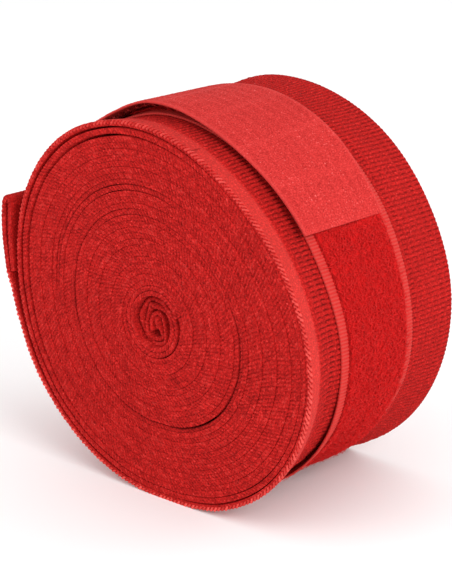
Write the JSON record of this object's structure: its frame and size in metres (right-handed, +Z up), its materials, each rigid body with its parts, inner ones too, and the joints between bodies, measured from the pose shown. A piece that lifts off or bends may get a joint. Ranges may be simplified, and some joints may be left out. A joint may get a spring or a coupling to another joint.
{
  "type": "hand wrap",
  "caption": "Rolled red webbing hand wrap with a thumb loop in its core, a folded and sewn end, and a hook tape closed over a loop tape.",
  "frame": {"origin": "on the surface that the roll stands on, below the roll's axis, halfway across the webbing", "axes": "+Z up, +Y along the roll's axis from the front face to the back face, +X to the right as seen from the front"},
  "size_m": [0.0903, 0.05, 0.0853],
  "materials": {
    "webbing": "ribbed cotton weave, matt",
    "hook_tape": "fine knitted nylon back, slight sheen",
    "loop_tape": "brushed loop pile, deep and matt",
    "thread": "twisted polyester thread"
  },
  "bodies": {
    "roll": {"webbing_roll": "webbing", "thumb_loop": "webbing", "loop_tape": "loop_tape", "stitch_loop_tape": "thread", "stitch_thumb_loop": "thread"},
    "tail_1": {"webbing_tail_1": "webbing"},
    "tail_2": {"webbing_tail_2": "webbing"},
    "tail_3": {"webbing_tail_3": "webbing"},
    "tail_4": {"webbing_tail_4": "webbing"},
    "hem": {"webbing_hem": "webbing", "hook_tape_base": "hook_tape", "stitch_hem": "thread"},
    "hook_1": {"hook_tape_1": "hook_tape"},
    "hook_2": {"hook_tape_2": "hook_tape"},
    "hook_3": {"hook_tape_3": "hook_tape"},
    "hook_4": {"hook_tape_4": "hook_tape"},
    "hook_5": {"hook_tape_5": "hook_tape"},
    "hook_6": {"hook_tape_6": "hook_tape"},
    "hook_7": {"hook_tape_7": "hook_tape"}
  },
  "joints": [
    {"name": "unwind_1", "type": "hinge", "parent": "roll", "child": "tail_1", "pos_m": [-0.01536, 0, 0.00288], "axis": [0, -1, 0], "range_deg": [0, 16]},
    {"name": "unwind_2", "type": "hinge", "parent": "tail_1", "child": "tail_2", "pos_m": [-0.02535, 0, 0.00845], "axis": [0, -1, 0], "range_deg": [0, 16]},
    {"name": "unwind_3", "type": "hinge", "parent": "tail_2", "child": "tail_3", "pos_m": [-0.03363, 0, 0.01647], "axis": [0, -1, 0], "range_deg": [0, 16]},
    {"name": "unwind_4", "type": "hinge", "parent": "tail_3", "child": "tail_4", "pos_m": [-0.03953, 0, 0.02651], "axis": [0, -1, 0], "range_deg": [0, 16]},
    {"name": "unwind_5", "type": "hinge", "parent": "tail_4", "child": "hem", "pos_m": [-0.04251, 0, 0.03793], "axis": [0, -1, 0], "range_deg": [0, 16]},
    {"name": "peel_1", "type": "hinge", "parent": "hem", "child": "hook_1", "pos_m": [-0.03825, 0, 0.06124], "axis": [0, -1, 0], "range_deg": [0, 16]},
    {"name": "peel_2", "type": "hinge", "parent": "hook_1", "child": "hook_2", "pos_m": [-0.03151, 0, 0.07133], "axis": [0, -1, 0], "range_deg": [0, 16]},
    {"name": "peel_3", "type": "hinge", "parent": "hook_2", "child": "hook_3", "pos_m": [-0.02267, 0, 0.08017], "axis": [0, -1, 0], "range_deg": [0, 16]},
    {"name": "peel_4", "type": "hinge", "parent": "hook_3", "child": "hook_4", "pos_m": [-0.01088, 0, 0.08454], "axis": [0, -1, 0], "range_deg": [0, 16]},
    {"name": "peel_5", "type": "hinge", "parent": "hook_4", "child": "hook_5", "pos_m": [0.00154, 0, 0.08506], "axis": [0, -1, 0], "range_deg": [0, 16]},
    {"name": "peel_6", "type": "hinge", "parent": "hook_5", "child": "hook_6", "pos_m": [0.01337, 0, 0.08205], "axis": [0, -1, 0], "range_deg": [0, 16]},
    {"name": "peel_7", "type": "hinge", "parent": "hook_6", "child": "hook_7", "pos_m": [0.02385, 0, 0.07626], "axis": [0, -1, 0], "range_deg": [0, 16]}
  ],
  "couplings": [
    {"joint": "unwind_2", "follows": "unwind_1", "ratio": 1},
    {"joint": "unwind_3", "follows": "unwind_1", "ratio": 1},
    {"joint": "unwind_4", "follows": "unwind_1", "ratio": 1},
    {"joint": "unwind_5", "follows": "unwind_1", "ratio": 1},
    {"joint": "peel_1", "follows": "unwind_1", "ratio": 1},
    {"joint": "peel_2", "follows": "unwind_1", "ratio": 1},
    {"joint": "peel_3", "follows": "unwind_1", "ratio": 1},
    {"joint": "peel_4", "follows": "unwind_1", "ratio": 1},
    {"joint": "peel_5", "follows": "unwind_1", "ratio": 1},
    {"joint": "peel_6", "follows": "unwind_1", "ratio": 1},
    {"joint": "peel_7", "follows": "unwind_1", "ratio": 1}
  ]
}
